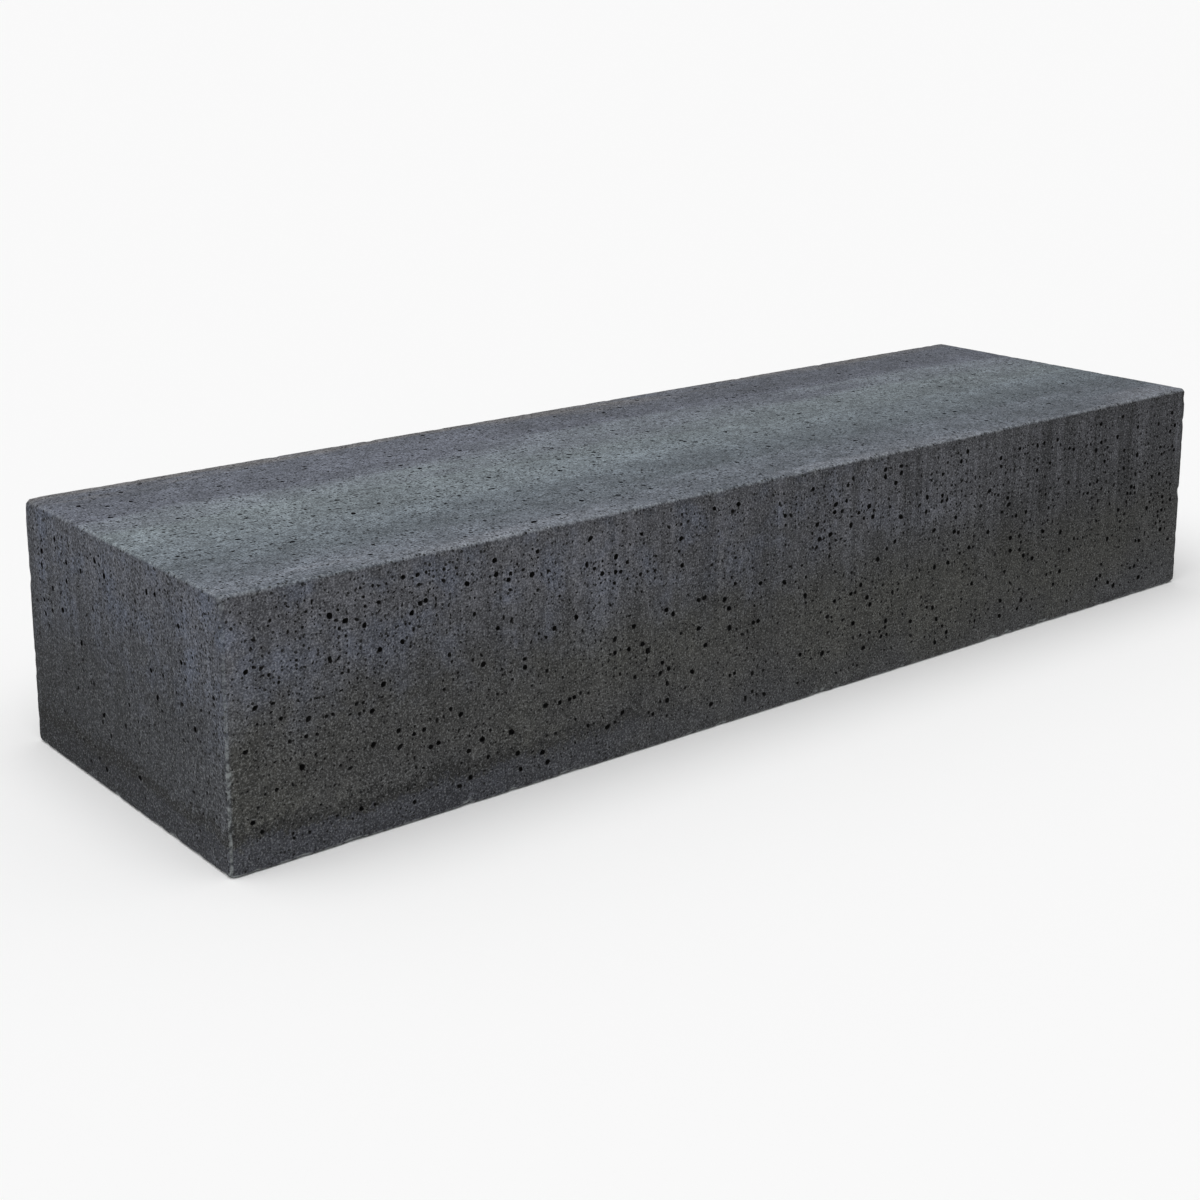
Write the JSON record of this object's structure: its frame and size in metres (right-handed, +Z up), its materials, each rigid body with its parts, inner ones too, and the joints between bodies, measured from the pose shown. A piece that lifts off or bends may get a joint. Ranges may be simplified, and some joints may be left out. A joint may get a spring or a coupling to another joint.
{
  "type": "precast concrete barrier block",
  "caption": "Low rectangular precast concrete barrier block on a flat base, with eased arrises, an embedded reinforcement cage and threaded lifting sockets in its underside.",
  "frame": {"origin": "centre of the underside, on the surface that the block stands on", "axes": "+X along the length, +Y from the front face to the back face, +Z up"},
  "size_m": [2, 0.6, 0.375],
  "materials": {
    "concrete": "matte",
    "ribbed_bar": "matte",
    "bent_bar": "matte",
    "tie_wire": "matte",
    "wheel_spacer": "matte",
    "block_spacer": "matte",
    "socket": "satin"
  },
  "bodies": {
    "root": {"bottom_bar_1": "ribbed_bar", "bottom_bar_2": "ribbed_bar", "bottom_bar_3": "ribbed_bar", "bottom_bar_4": "ribbed_bar", "bottom_spacers": "block_spacer", "cap_tie_01": "bent_bar", "cap_tie_02": "bent_bar", "cap_tie_03": "bent_bar", "cap_tie_04": "bent_bar", "cap_tie_05": "bent_bar", "cap_tie_06": "bent_bar", "cap_tie_07": "bent_bar", "cap_tie_08": "bent_bar", "cap_tie_09": "bent_bar", "cap_tie_10": "bent_bar", "concrete_block": "concrete", "lifting_socket_left": "socket", "lifting_socket_right": "socket", "side_spacers": "wheel_spacer", "socket_cross_bar_left": "ribbed_bar", "socket_cross_bar_right": "ribbed_bar", "stirrup_01": "bent_bar", "stirrup_02": "bent_bar", "stirrup_03": "bent_bar", "stirrup_04": "bent_bar", "stirrup_05": "bent_bar", "stirrup_06": "bent_bar", "stirrup_07": "bent_bar", "stirrup_08": "bent_bar", "stirrup_09": "bent_bar", "stirrup_10": "bent_bar", "tie_wires": "tie_wire", "top_bar_1": "ribbed_bar", "top_bar_2": "ribbed_bar", "top_bar_3": "ribbed_bar", "top_bar_4": "ribbed_bar"}
  },
  "joints": []
}
